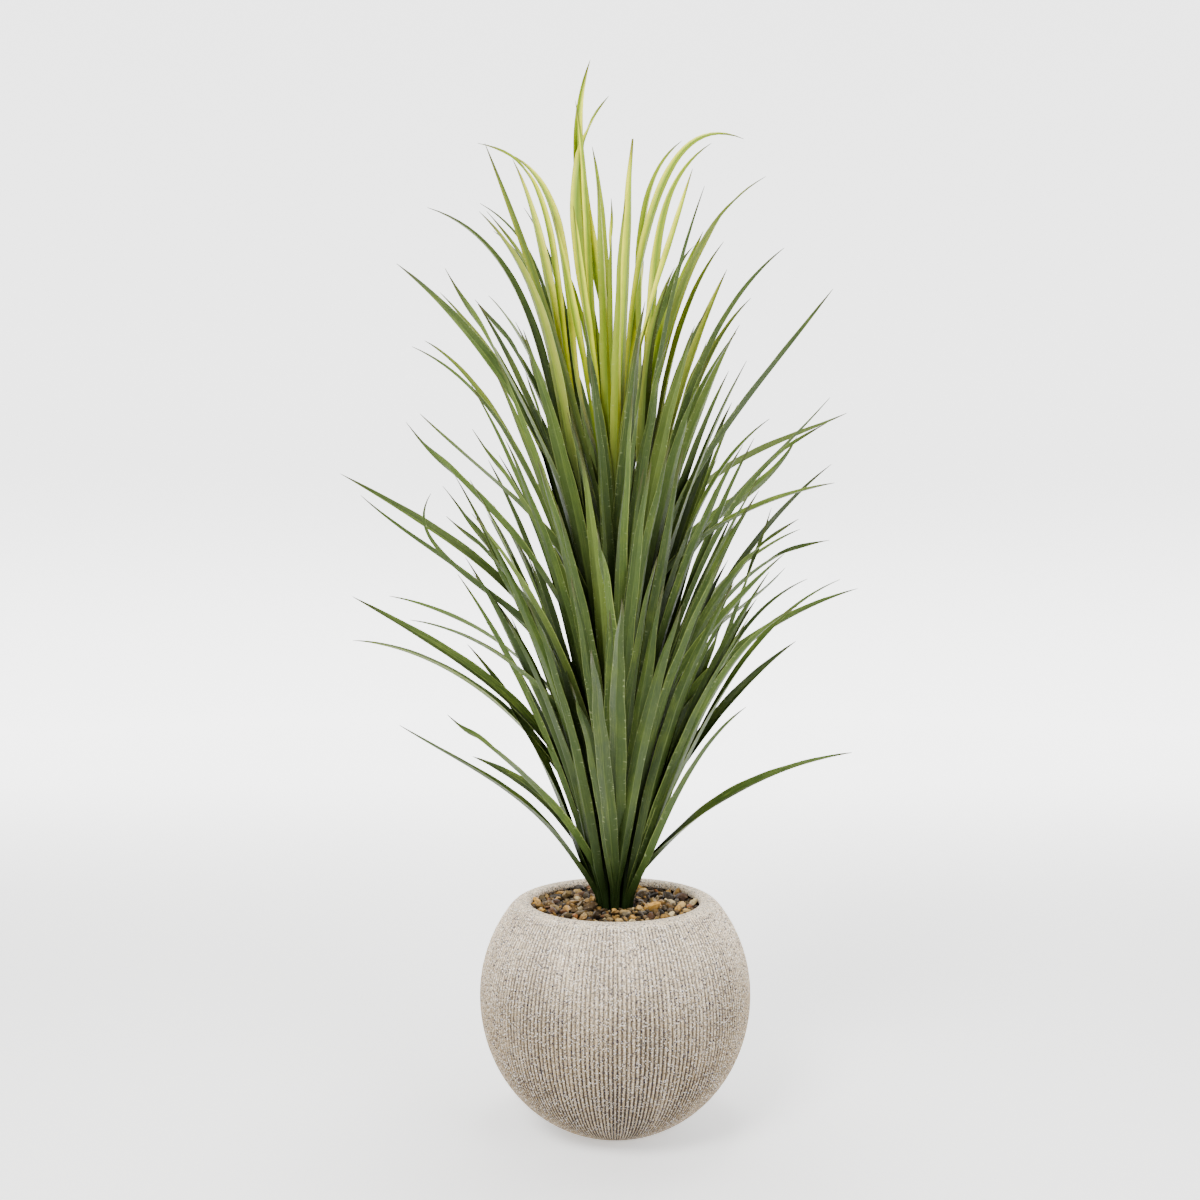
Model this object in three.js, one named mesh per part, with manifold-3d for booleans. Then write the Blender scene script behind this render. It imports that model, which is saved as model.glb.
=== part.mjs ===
// A potted grass: a tall tuft of arching, folded blades in a ribbed globe planter topped with gravel.
// Millimetres, +Z up. The origin is the centre of the planter's foot, on the floor.
// Seen from the front, the viewer looks along +Y and +X is to the right.

import * as THREE from 'three';
import { mergeVertices } from 'three/addons/utils/BufferGeometryUtils.js';
import Module from 'manifold-3d';

const wasm = await Module();
wasm.setup();

// Planter
const globeRadius = 162.5;
const equatorHeight = 160;
const footRadius = 50;
const bellyPower = 2.03;
const rimHeight = 270;
const shoulderRadius = 123;
const rimOuterRadius = 116;
const mouthRadius = 102;
const wallThickness = 11;
const floorThickness = 14;
const ribCount = 48;
const ribDepth = 0.9;
const cavitySides = 32;
const neckStart = 259;

// Planting fill and gravel
const seatGap = 0.4;
const fillTop = 236;
const gravelTop = 255;
const stoneCount = 70;
const stoneFieldInner = 37;
const stoneFieldOuter = 95;
const stoneSize = 8;

// Stems
const stemCount = 8;
const stemRing = 22;
const stemRadius = 7;
const stemTipRadius = 5.8;
const stemFoot = 150;
const stemTops = [640, 600, 610, 620, 635, 605, 570, 600];
const innerStemRadius = 8.5;
const innerStemTop = 770;
const stemHoleGap = 0.9;

// Blades
const bladesPerStem = 18;
const innerFillBlades = 4;
const lowestRoot = 266;
const fanHalfAngle = 21.5;
const rootDepth = 4;
const bladeStations = [0, 0.22, 0.46, 0.72];
const keelThickness = 1.6;
const foldSlope = 0.42;
const rootHandle = 0.42;
const tipHandle = 0.3;
const shortestBlade = 330;
const fullBladeExtra = 150;
const lowBladeLean = 29;
const highBladeLean = 12;
const bladeBend = 30;
const bladeBendSpread = 16;
const heldRootShare = 0.4;
const heldBendShare = 0.6;
const heldFreedAtTop = 0.6;
const narrowestBlade = 14;
const bladeWidthSpread = 8;
const sectorEdgeWidth = 17;
const innerLowestRoot = 665;
const innerRootSpread = 100;

// Blades that draw the outline, chosen by hand for each stem:
// turn from the stem's own heading (degrees), width, root height, root lean from upright (degrees),
// reach of the tip from the stem, height of the tip, tip lean from upright (degrees)
const outlineBlades = [
  [
    [-6, 23, 290, 35, 260, 450, 78],
    [-10, 18, 300, 23, 165, 740, 18],
    [-12, 19, 310, 26, 245, 655, 65],
    [6, 20, 322, 24, 200, 580, 55],
    [2, 19, 415, 21, 240, 795, 50],
    [12, 20, 430, 21, 250, 705, 85],
    [-8, 17, 450, 19, 230, 840, 65],
    [8, 19, 540, 16, 245, 880, 40],
    [0, 24, 610, 16, 240, 1005, 35],
    [-5, 22, 630, 14, 180, 1050, 50],
    [5, 19, 640, 9, 110, 1065, 35],
  ],
  [
    [-20, 19, 385, 24, 340, 645, 75],
    [5, 16, 420, 24, 355, 675, 55],
    [-10, 17, 450, 22, 285, 725, 70],
    [0, 18, 565, 17, 340, 860, 35],
    [-15, 18, 590, 14, 185, 1020, 45],
    [5, 17, 600, 19, 135, 1090, 50],
    [-13, 21, 600, 8, 355, 885, 65],
  ],
  [],
  [
    [5, 17, 270, 24, 230, 420, 80],
    [17, 16, 385, 13, 325, 635, 80],
    [20, 16, 440, 20, 360, 770, 50],
    [0, 18, 580, 16, 325, 1060, 50],
    [-10, 17, 585, 15, 280, 1055, 55],
    [15, 17, 610, 13, 115, 1125, 35],
    [10, 20, 610, 34, 295, 980, 60],
    [5, 17, 620, 23, 190, 1115, 55],
  ],
  [
    [12, 20, 262, 19, 235, 485, 55],
    [-6, 19, 360, 16, 190, 770, 42],
    [6, 21, 325, 11, 290, 635, 60],
    [-10, 21, 345, 25, 310, 580, 85],
    [2, 20, 400, 8, 118, 805, 30],
    [-4, 22, 450, 13, 315, 785, 60],
    [0, 20, 520, 14, 230, 845, 40],
    [8, 17, 555, 16, 220, 930, 65],
    [-2, 21, 575, 13, 205, 1105, 70],
    [6, 17, 600, 10, 132, 1095, 45],
    [4, 17, 625, 18, 140, 1105, 60],
    [-8, 22, 635, 13, 250, 1045, 50],
  ],
  [
    [0, 19, 295, 32, 230, 510, 55],
    [-13, 18, 400, 21, 245, 610, 80],
    [15, 16, 405, 22, 260, 720, 55],
    [3, 17, 430, 22, 240, 720, 60],
    [-17, 15, 475, 11, 215, 750, -35],
    [10, 16, 505, 18, 230, 810, 50],
    [-5, 19, 580, 17, 250, 830, 50],
    [-15, 19, 600, 13, 200, 1000, 35],
    [-3, 19, 605, 15, 185, 960, 55],
    [-11, 18, 605, 17, 165, 1065, 55],
  ],
  [],
  [
    [0, 18, 262, 26, 180, 515, 55],
    [20, 16, 275, 25, 220, 655, 65],
    [3, 17, 275, 23, 240, 625, 65],
    [10, 16, 395, 23, 225, 720, 65],
    [-5, 17, 405, 23, 250, 680, 55],
    [7, 18, 470, 18, 195, 830, 60],
    [17, 19, 575, 15, 255, 760, 80],
    [5, 17, 595, 13, 70, 1015, 35],
    [15, 19, 600, 15, 140, 935, 40],
    [-5, 18, 600, 13, 135, 955, 40],
    [12, 17, 602, 5, 104, 1105, 22],
  ],
];

// The new growth in the middle, in the same order of values; its turn is the blade's full heading
const innerBlades = [
  [205, 14, 670, 14, 165, 1155, 25],
  [210, 17, 690, 10, 85, 1085, 14],
  [175, 15, 685, 22, 125, 1165, 25],
  [355, 16, 690, 17, 180, 1135, 60],
  [30, 16, 710, 22, 95, 1200, 50],
  [235, 16, 705, 5, 36, 1130, 8],
  [215, 17, 725, 8, 60, 1095, 5],
  [190, 17, 740, 33, 165, 1170, 85],
  [10, 17, 740, 4, 160, 1195, 110],
  [340, 16, 760, 26, 120, 1165, 65],
  [200, 9, 765, 12, 50, 1225, 10],
  [192, 15, 765, 0, 24, 1226, -9],
  [160, 16, 765, 6, 30, 1180, 10],
  [320, 15, 768, 7, 115, 1125, 20],
  [180, 18, 768, -5, 30, 1280, -20],
  [250, 16, 768, 18, 10, 1110, 15],
  [165, 20, 768, 31, 135, 1180, 60],
  [300, 19, 768, 4, 43, 1172, 6],
];

const colours = {
  planter: 0xbeb4a8,
  fill: 0x3a3028,
  gravel: 0x97795a,
  leaf: 0x4f6b37,
  newGrowth: 0xa3b54a,
};

const radians = THREE.MathUtils.degToRad;

// A repeatable draw between 0 and 1 for item i and its property j
function draw(i, j) {
  const value = Math.sin(i * 127.1 + j * 311.7) * 43758.5453;
  return value - Math.floor(value);
}

function solidOf(geometry) {
  const bare = geometry.clone();
  bare.deleteAttribute('normal');
  bare.deleteAttribute('uv');
  const merged = mergeVertices(bare, 1e-4);
  return new wasm.Manifold(new wasm.Mesh({
    numProp: 3,
    vertProperties: new Float32Array(merged.attributes.position.array),
    triVerts: new Uint32Array(merged.index.array),
  }));
}

function geometryOf(solid) {
  const mesh = solid.getMesh();
  const geometry = new THREE.BufferGeometry();
  geometry.setAttribute('position', new THREE.BufferAttribute(new Float32Array(mesh.vertProperties), 3));
  geometry.setIndex(new THREE.BufferAttribute(new Uint32Array(mesh.triVerts), 1));
  geometry.computeVertexNormals();
  return geometry;
}

function addAll(solids) {
  return solids.reduce((whole, solid) => whole.add(solid));
}

// A closed skin over rings of points with equal counts, each end closed by a fan to one point
function ringSkin(rings, firstPoint, lastPoint) {
  const count = rings[0].length;
  const points = [...rings.flat(), firstPoint, lastPoint];
  const first = points.length - 2;
  const last = points.length - 1;
  const faces = [];
  for (let i = 0; i < count; i += 1) {
    const j = (i + 1) % count;
    faces.push(first, j, i);
    for (let ring = 0; ring + 1 < rings.length; ring += 1) {
      const low = ring * count;
      const high = low + count;
      faces.push(low + i, low + j, high + j);
      faces.push(low + i, high + j, high + i);
    }
    const top = (rings.length - 1) * count;
    faces.push(top + i, top + j, last);
  }
  const geometry = new THREE.BufferGeometry();
  geometry.setAttribute('position', new THREE.Float32BufferAttribute(points.flatMap((p) => p.toArray()), 3));
  geometry.setIndex(faces);
  return geometry;
}

// A solid of revolution about Z from [radius, height] pairs that run upwards
function revolve(profile, sides) {
  const points = profile.map(([radius, height]) => new THREE.Vector2(radius, height));
  const geometry = new THREE.LatheGeometry(points, sides);
  return geometry.rotateX(Math.PI / 2);
}

// The belly is a superellipse below the equator and a sphere above it
function bellyRadius(height, radius, depth) {
  if (height > equatorHeight) {
    return Math.sqrt(radius ** 2 - (height - equatorHeight) ** 2);
  }
  const drop = (equatorHeight - height) / depth;
  return radius * (1 - drop ** bellyPower) ** (1 / bellyPower);
}

const bellyDepth = equatorHeight / (1 - (footRadius / globeRadius) ** bellyPower) ** (1 / bellyPower);

function outerRadius(height) {
  return bellyRadius(height, globeRadius, bellyDepth);
}

function cavityRadius(height) {
  return bellyRadius(height, globeRadius - wallThickness, bellyDepth - floorThickness + 1);
}

// The outside of the planter: ribs run up the belly and fade into the foot and the smooth lip
function planterOutside() {
  const columns = ribCount * 2;
  const levels = [
    [footRadius, 0, 0],
    ...[10, 36, 76, 118, 160, 202, 236, 256].map((height) => [outerRadius(height), height, 1]),
    [shoulderRadius, 266.5, 0.2],
    [rimOuterRadius, rimHeight, 0],
  ];
  const rings = levels.map(([radius, height, strength]) => {
    const ring = [];
    for (let column = 0; column < columns; column += 1) {
      const angle = (column / columns) * Math.PI * 2;
      const ribbed = radius + (column % 2 ? -ribDepth : 0) * strength;
      ring.push(new THREE.Vector3(ribbed * Math.cos(angle), ribbed * Math.sin(angle), height));
    }
    return ring;
  });
  return ringSkin(rings, new THREE.Vector3(0, 0, 0), new THREE.Vector3(0, 0, rimHeight));
}

const cavityLevels = [40, 90, 160, 205, fillTop, gravelTop, neckStart];

function planter() {
  const cavity = revolve([
    [0, floorThickness],
    [cavityRadius(floorThickness), floorThickness],
    ...cavityLevels.map((height) => [cavityRadius(height), height]),
    [mouthRadius, 262.5],
    [mouthRadius, 266],
    [mouthRadius + 3, rimHeight],
    [mouthRadius + 3, rimHeight + 10],
    [0, rimHeight + 10],
  ], cavitySides);
  return solidOf(planterOutside()).subtract(solidOf(cavity));
}

function stemPlace(index) {
  const angle = radians(index * (360 / stemCount));
  return new THREE.Vector3(stemRing * Math.cos(angle), stemRing * Math.sin(angle), 0);
}

function uprightPost(place, lowRadius, highRadius, bottom, top, sides) {
  const post = new THREE.CylinderGeometry(highRadius, lowRadius, top - bottom, sides);
  post.rotateX(Math.PI / 2);
  return post.translate(place.x, place.y, (top + bottom) / 2);
}

// Plain round holes in which the stems stand
function stemHoles(bottom, top) {
  const holes = [];
  for (let index = 0; index < stemCount; index += 1) {
    const radius = stemRadius + stemHoleGap;
    holes.push(solidOf(uprightPost(stemPlace(index), radius, radius, bottom, top, 8)));
  }
  const middle = innerStemRadius + stemHoleGap;
  holes.push(solidOf(uprightPost(new THREE.Vector3(), middle, middle, bottom, top, 8)));
  return addAll(holes);
}

function plantingFill() {
  const bottom = floorThickness + 0.3;
  const levels = cavityLevels.filter((height) => height <= fillTop);
  const body = revolve([
    [0, bottom],
    [cavityRadius(floorThickness) - seatGap, bottom],
    ...levels.map((height) => [cavityRadius(height) - seatGap, height]),
    [0, fillTop],
  ], cavitySides);
  return solidOf(body).subtract(stemHoles(stemFoot - 0.3, fillTop + 10));
}

// One angular pebble: an eight-sided crystal, stretched and turned at random
function pebble(index) {
  const spiral = index * 2.399963;
  const share = (index + 0.5) / stoneCount;
  const reach = Math.sqrt(stoneFieldInner ** 2 + share * (stoneFieldOuter ** 2 - stoneFieldInner ** 2));
  const size = stoneSize * (0.85 + 0.45 * draw(index, 1));
  const stone = new THREE.OctahedronGeometry(1, 0);
  stone.scale(size, size * (0.7 + 0.25 * draw(index, 2)), size * (0.6 + 0.2 * draw(index, 3)));
  stone.rotateX(radians(40 * (draw(index, 4) - 0.5)));
  stone.rotateY(radians(40 * (draw(index, 5) - 0.5)));
  stone.rotateZ(radians(360 * draw(index, 6)));
  const sink = 1.2 - 2.4 * draw(index, 7);
  return stone.translate(reach * Math.cos(spiral), reach * Math.sin(spiral), gravelTop + sink);
}

function gravelBed() {
  const bottom = fillTop + 0.3;
  const bed = revolve([
    [0, bottom],
    [cavityRadius(fillTop) - 1.2, bottom],
    [cavityRadius(gravelTop) - seatGap, gravelTop],
    [0, gravelTop],
  ], cavitySides);
  const stones = Array.from({ length: stoneCount }, (_, index) => solidOf(pebble(index)));
  return addAll([solidOf(bed), ...stones]).subtract(stemHoles(bottom - 10, gravelTop + 20));
}

// A blade's middle line, as a curve in the upright plane that holds its heading
function bladePath({ place, heading, rootHeight, rootLean, reach, tipHeight, tipLean }) {
  const angle = radians(heading);
  const at = (out, up) => new THREE.Vector3(
    place.x + out * Math.cos(angle),
    place.y + out * Math.sin(angle),
    up,
  );
  const span = Math.hypot(reach - rootDepth, tipHeight - rootHeight);
  const rootPull = rootHandle * span;
  const tipPull = tipHandle * span;
  const leave = radians(rootLean);
  const arrive = radians(tipLean);
  return new THREE.CubicBezierCurve3(
    at(rootDepth, rootHeight),
    at(rootDepth + rootPull * Math.sin(leave), rootHeight + rootPull * Math.cos(leave)),
    at(reach - tipPull * Math.sin(arrive), tipHeight - tipPull * Math.cos(arrive)),
    at(reach, tipHeight),
  );
}

// Half the width: a narrow sheath, broadest at a third of the length, then a long taper to the tip
function bladeHalfWidth(share, width) {
  const rise = 0.3 + 0.7 * Math.sin((Math.PI / 2) * Math.min(1, share / 0.35));
  const taper = 1 - Math.max(0, (share - 0.35) / 0.65) ** 2;
  return 0.5 * width * rise * taper;
}

// A blade is a gutter in section: two raised edges, the fold between them and the keel below it
function blade(values) {
  const path = bladePath(values);
  const angle = radians(values.heading);
  const side = new THREE.Vector3(-Math.sin(angle), Math.cos(angle), 0);
  const rings = bladeStations.map((share) => {
    const middle = path.getPoint(share);
    const up = path.getTangent(share).cross(side).negate().normalize();
    const half = bladeHalfWidth(share, values.width);
    const edgeRise = half * foldSlope;
    const keel = 0.5 * keelThickness * (1 - 0.3 * share);
    return [
      middle.clone().addScaledVector(side, half).addScaledVector(up, edgeRise),
      middle.clone().addScaledVector(up, -keel),
      middle.clone().addScaledVector(side, -half).addScaledVector(up, edgeRise),
      middle.clone().addScaledVector(up, keel),
    ];
  });
  return solidOf(ringSkin(rings, path.getPoint(0), path.getPoint(1)));
}

function outlineBlade(place, stemHeading, row) {
  const [turn, width, rootHeight, rootLean, reach, tipHeight, tipLean] = row;
  return { place, heading: stemHeading + turn, width, rootHeight, rootLean, reach, tipHeight, tipLean };
}

// A blade worked out from its length and leans, where no outline is drawn by it
function ruleBlade(place, heading, width, rootHeight, rootLean, tipLean, length) {
  const slant = radians(rootLean + 0.42 * (tipLean - rootLean));
  const reach = rootDepth + 0.975 * length * Math.sin(slant);
  const tipHeight = rootHeight + 0.975 * length * Math.cos(slant);
  return { place, heading, width, rootHeight, rootLean, reach, tipHeight, tipLean };
}

// The rest of an outer stem's blades: from low and spreading to high and upright, fanned to its sector,
// and held in where they spread sideways, inside the outline
function fillBlades(stem, count) {
  const list = [];
  for (let index = 0; index < count; index += 1) {
    const chance = (property) => draw(stem * 37 + index, property);
    const climb = (index + 0.15 + 0.7 * chance(1)) / count;
    const spread = (index * 0.618034 + 0.21 * stem + 0.13 * chance(2)) % 1;
    const turn = fanHalfAngle * (2 * spread - 1);
    const heading = stem * (360 / stemCount) + turn;
    const fullness = Math.sin(Math.PI * (0.18 + 0.62 * climb)) * (0.62 + 0.38 * chance(3));
    const length = shortestBlade + fullBladeExtra * fullness + 40 * (chance(4) - 0.5);
    const held = Math.abs(Math.cos(radians(heading))) * (1 - heldFreedAtTop * climb ** 4);
    const meanLean = THREE.MathUtils.lerp(lowBladeLean, highBladeLean, climb);
    const rootLean = meanLean * (1 - heldRootShare * held) + 3 * (chance(5) - 0.5);
    const bend = bladeBend + bladeBendSpread * (chance(6) - 0.35) - 6 * climb;
    const tipLean = rootLean + bend * (1 - heldBendShare * held);
    const roomForWidth = sectorEdgeWidth + 0.42 * (fanHalfAngle - Math.abs(turn));
    const width = Math.min(narrowestBlade + bladeWidthSpread * chance(7), roomForWidth);
    const rootHeight = lowestRoot + climb * (stemTops[stem] - lowestRoot);
    list.push(ruleBlade(stemPlace(stem), heading, width, rootHeight, rootLean, tipLean, length));
  }
  return list;
}

function innerFill() {
  const list = [];
  for (let index = 0; index < innerFillBlades; index += 1) {
    const chance = (property) => draw(911 + index, property);
    const climb = (index + 0.5) / innerFillBlades;
    const heading = (index * 137.508) % 360;
    const length = 400 - 90 * climb + 90 * (chance(3) - 0.5);
    const rootLean = 9 - 5 * climb + 4 * (chance(5) - 0.5);
    const tipLean = rootLean + 16 + 18 * (chance(6) - 0.4);
    const width = narrowestBlade + 5 * chance(7);
    const rootHeight = innerLowestRoot + innerRootSpread * climb;
    list.push(ruleBlade(new THREE.Vector3(), heading, width, rootHeight, rootLean, tipLean, length));
  }
  return list;
}

function leafyStem(stem) {
  const place = stemPlace(stem);
  const heading = stem * (360 / stemCount);
  const outline = outlineBlades[stem].map((row) => outlineBlade(place, heading, row));
  const blades = [...outline, ...fillBlades(stem, bladesPerStem - outline.length)];
  const post = uprightPost(place, stemRadius, stemTipRadius, stemFoot, stemTops[stem] + 12, 6);
  return addAll([solidOf(post), ...blades.map(blade)]);
}

function newGrowthStem() {
  const place = new THREE.Vector3();
  const outline = innerBlades.map((row) => outlineBlade(place, 0, row));
  const blades = [...outline, ...innerFill()];
  const post = uprightPost(place, innerStemRadius, stemTipRadius, stemFoot, innerStemTop + 8, 6);
  return addAll([solidOf(post), ...blades.map(blade)]);
}

function named(name, solid, color, roughness) {
  const material = new THREE.MeshStandardMaterial({ color, roughness, metalness: 0 });
  const mesh = new THREE.Mesh(geometryOf(solid), material);
  mesh.name = name;
  return mesh;
}

const pottedGrass = new THREE.Group();
pottedGrass.add(named('pot', planter(), colours.planter, 0.92));
pottedGrass.add(named('planting_fill', plantingFill(), colours.fill, 1));
pottedGrass.add(named('gravel', gravelBed(), colours.gravel, 0.75));
for (let stem = 0; stem < stemCount; stem += 1) {
  pottedGrass.add(named(`leafy_stem_${stem + 1}`, leafyStem(stem), colours.leaf, 0.5));
}
pottedGrass.add(named('new_growth_stem', newGrowthStem(), colours.newGrowth, 0.5));

export default pottedGrass;
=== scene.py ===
import bpy
import numpy as np
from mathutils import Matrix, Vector


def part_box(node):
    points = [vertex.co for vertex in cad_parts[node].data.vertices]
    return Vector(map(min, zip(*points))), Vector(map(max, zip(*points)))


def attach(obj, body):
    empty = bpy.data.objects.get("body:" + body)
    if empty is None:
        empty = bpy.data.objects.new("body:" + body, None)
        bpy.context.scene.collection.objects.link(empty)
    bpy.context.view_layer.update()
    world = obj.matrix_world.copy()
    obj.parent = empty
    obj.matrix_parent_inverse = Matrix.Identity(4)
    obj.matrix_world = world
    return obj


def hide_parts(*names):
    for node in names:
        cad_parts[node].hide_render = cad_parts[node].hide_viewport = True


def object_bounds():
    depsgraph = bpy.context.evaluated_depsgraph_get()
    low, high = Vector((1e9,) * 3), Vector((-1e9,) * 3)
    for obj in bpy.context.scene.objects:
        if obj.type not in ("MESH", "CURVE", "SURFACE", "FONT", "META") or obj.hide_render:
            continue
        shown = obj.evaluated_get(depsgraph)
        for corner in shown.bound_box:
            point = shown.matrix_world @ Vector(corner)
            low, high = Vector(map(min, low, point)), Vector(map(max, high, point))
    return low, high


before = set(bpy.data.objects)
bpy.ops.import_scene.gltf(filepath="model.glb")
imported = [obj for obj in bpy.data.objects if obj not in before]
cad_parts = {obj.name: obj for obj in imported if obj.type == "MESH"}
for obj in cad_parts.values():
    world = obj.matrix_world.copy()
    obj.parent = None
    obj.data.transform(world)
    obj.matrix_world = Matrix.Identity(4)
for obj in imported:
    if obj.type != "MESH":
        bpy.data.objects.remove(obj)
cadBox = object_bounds()
mm = 0.001
goldenShare = 0.618034    # steps of this share of a fan never bunch up
goldenTurn = 137.508      # degrees, the smaller part of a turn cut that way
print("frame loaded:", sorted(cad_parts))


# helpers for numbers

def chance(i, j):
    # repeatable draw between 0 and 1 for item i and its property j: the fraction of a large sine
    value = np.sin(i * 127.1 + j * 311.7) * 43758.5453
    return value - np.floor(value)


def smoothStep(low, high, x):
    # 0 at low and 1 at high, along three squares less two cubes of the share between them
    t = np.clip((x - low) / (high - low), 0.0, 1.0)
    return t * t * (3.0 - 2.0 * t)


def rippleField(theta, height, waves, seed):
    # slow unevenness: a sum of products of a sine round, in whole turns, and a sine of the height
    rng = np.random.default_rng(seed)
    total = np.zeros(np.broadcast(theta, height).shape)
    for wave in range(waves):
        turns = rng.integers(2, 14)
        pitch = rng.uniform(8.0, 60.0)
        phase = rng.uniform(0, 2 * np.pi, 2)
        total += np.sin(turns * theta + phase[0]) * np.sin(pitch * height + phase[1])
    return total / np.sqrt(waves)


# helpers for meshes

def wholeTurn(count):
    # the angles of evenly spaced columns round the upright axis
    return np.linspace(0, 2 * np.pi, count, endpoint=False)


def around(radius, angle, height):
    # points on rings about the upright axis: radius times cosine and sine of the angle, and the height
    return np.stack([radius * np.cos(angle), radius * np.sin(angle), height + 0 * angle], -1)


def ringQuads(rows, columns):
    # quads between neighbouring rows and columns of a grid whose last column joins the first
    i, j = np.meshgrid(np.arange(rows - 1), np.arange(columns), indexing="ij")
    right = (j + 1) % columns
    here = i * columns
    after = here + columns
    quads = np.stack([here + j, here + right, after + right, after + j], -1)
    return quads.reshape(-1, 4)


def fan(centre, start, columns, turned=False):
    # triangles from a middle point to a ring of points that begins at start; turned swaps their order
    ring = start + np.arange(columns)
    after = np.roll(ring, -1)
    return np.stack([np.full(columns, centre), *((after, ring) if turned else (ring, after))], -1)


def meshPiece(name, points, quads, triangles, attributes, material, smooth=True):
    # one mesh object from arrays of points, quads and triangles, with a float attribute for each named array
    mesh = bpy.data.meshes.new(name)
    loops = np.concatenate([quads.ravel(), triangles.ravel()]).astype(np.int32)
    sizes = np.concatenate([np.full(len(quads), 4), np.full(len(triangles), 3)]).astype(np.int32)
    starts = np.concatenate([[0], np.cumsum(sizes)[:-1]]).astype(np.int32)
    mesh.vertices.add(len(points))
    mesh.vertices.foreach_set("co", points.astype(np.float32).ravel())
    mesh.loops.add(len(loops))
    mesh.loops.foreach_set("vertex_index", loops)
    mesh.polygons.add(len(sizes))
    mesh.polygons.foreach_set("loop_start", starts)
    mesh.polygons.foreach_set("use_smooth", np.full(len(sizes), smooth))
    mesh.update(calc_edges=True)
    mesh.validate()
    for key, values in attributes.items():
        layer = mesh.attributes.new(key, "FLOAT", "POINT")
        layer.data.foreach_set("value", values.astype(np.float32).ravel())
    obj = bpy.data.objects.new(name, mesh)
    bpy.context.scene.collection.objects.link(obj)
    obj.data.materials.append(material)
    return obj


# helpers for materials

def startMaterial(name):
    # a new material, its main shader and the Object coordinates that its patterns read
    material = bpy.data.materials.new(name)
    material.use_nodes = True
    nodes = material.node_tree.nodes
    place = nodes.new("ShaderNodeTexCoord").outputs["Object"]
    return material, nodes["Principled BSDF"], place


def rgb(hexCode):
    # hex colour as seen on screen, turned into linear light
    parts = np.array([int(hexCode[k:k + 2], 16) / 255 for k in (0, 2, 4)])
    linear = np.where(parts <= 0.04045, parts / 12.92, ((parts + 0.055) / 1.055) ** 2.4)
    return (*linear, 1.0)


def feed(socket, value):
    # links a socket into another, or sets a number, a hex colour or a linear colour on it
    if isinstance(value, bpy.types.NodeSocket):
        socket.id_data.links.new(value, socket)
    elif isinstance(value, str):
        socket.default_value = rgb(value)
    elif isinstance(value, tuple):
        socket.default_value = (*value, 1.0)
    else:
        socket.default_value = value


def feedAll(node, values):
    # feeds the inputs of a node by their names
    for name, value in values.items():
        feed(node.inputs[name], value)


def newNode(kind, *values):
    # a new node in the tree of the first socket among the values
    tree = next(value.id_data for value in values if isinstance(value, bpy.types.NodeSocket))
    return tree.nodes.new("ShaderNode" + kind)


def axes(vector):
    # the three coordinates of a vector
    split = newNode("SeparateXYZ", vector)
    feed(split.inputs[0], vector)
    return split.outputs


def addRamp(value, stops, interpolation="LINEAR"):
    # colour that changes along a value, from (place, colour) stops
    ramp = newNode("ValToRGB", value)
    ramp.color_ramp.interpolation = interpolation
    elements = ramp.color_ramp.elements
    while len(elements) < len(stops):
        elements.new(0.5)
    for element, (place, colour) in zip(elements, stops):
        element.position = place
        element.color = rgb(colour) if isinstance(colour, str) else (*colour, 1.0)
    feed(ramp.inputs[0], value)
    return ramp.outputs[0]


def addMix(factor, first, second, blend="MIX"):
    # colour that goes from the first to the second by a factor
    mix = newNode("Mix", factor, first)
    mix.data_type = "RGBA"
    mix.blend_type = blend
    for index, value in ((0, factor), (6, first), (7, second)):    # its sockets for colours
        feed(mix.inputs[index], value)
    return mix.outputs[2]


def addMath(operation, first, second=0.0, third=0.0, clamp=False):
    # one arithmetic step on up to three values
    math = newNode("Math", first, second)
    math.operation = operation
    math.use_clamp = clamp
    for socket, value in zip(math.inputs, (first, second, third)):
        feed(socket, value)
    return math.outputs[0]


def times(first, second):
    # product of two values
    return addMath("MULTIPLY", first, second)


def addRange(value, low, high, toLow=0.0, toHigh=1.0, smooth=True):
    # value between low and high, carried over to toLow and toHigh
    node = newNode("MapRange", value)
    node.interpolation_type = "SMOOTHSTEP" if smooth else "LINEAR"
    for socket, number in zip(node.inputs, (value, low, high, toLow, toHigh)):
        feed(socket, number)
    return node.outputs[0]


def stain(colour, value, low, high, share, tint):
    # colour that takes up to a share of a tint as the value goes from low to high
    return addMix(addRange(value, low, high, 0.0, share), colour, tint)


def addNoise(vector, scale, detail=3.0, roughness=0.55):
    # cloudy noise between 0 and 1
    noise = newNode("TexNoise", vector)
    feedAll(noise, {"Vector": vector, "Scale": scale, "Detail": detail, "Roughness": roughness})
    return noise.outputs["Fac"]


def addAttribute(material, name):
    # a value that the mesh carries at its points
    node = material.node_tree.nodes.new("ShaderNodeAttribute")
    node.attribute_name = name
    return node.outputs["Fac"]


def addNookShade(material, distance, clear, closed, share):
    # painted shade: how far a place is hidden by what lies within a distance, up to a share, from ambient
    # occlusion
    nookShade = material.node_tree.nodes.new("ShaderNodeAmbientOcclusion")
    nookShade.samples = 2
    feed(nookShade.inputs["Distance"], distance)
    return addRange(nookShade.outputs["AO"], clear, closed, 0.0, share)


def addBump(height, strength, distance, shader):
    # fine relief from a value, on the shader's normal
    bump = newNode("Bump", height)
    feedAll(bump, {"Strength": strength, "Distance": distance, "Height": height})
    feed(shader.inputs["Normal"], bump.outputs[0])
    return bump.outputs[0]


# camera and studio

view = {
    "distance": 1.5,  # from the planter's axis
    "height": 0.641,
    "pitch": 0.39,  # degrees below level
    "pixelsPerUnit": 1244.0,  # focal length in pixels of the 1200 frame
    "axisPixel": 615.2,  # where the planter's axis stands in the frame
    "frame": 1200.0,
    "sensor": 36.0,  # mm
}


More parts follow.
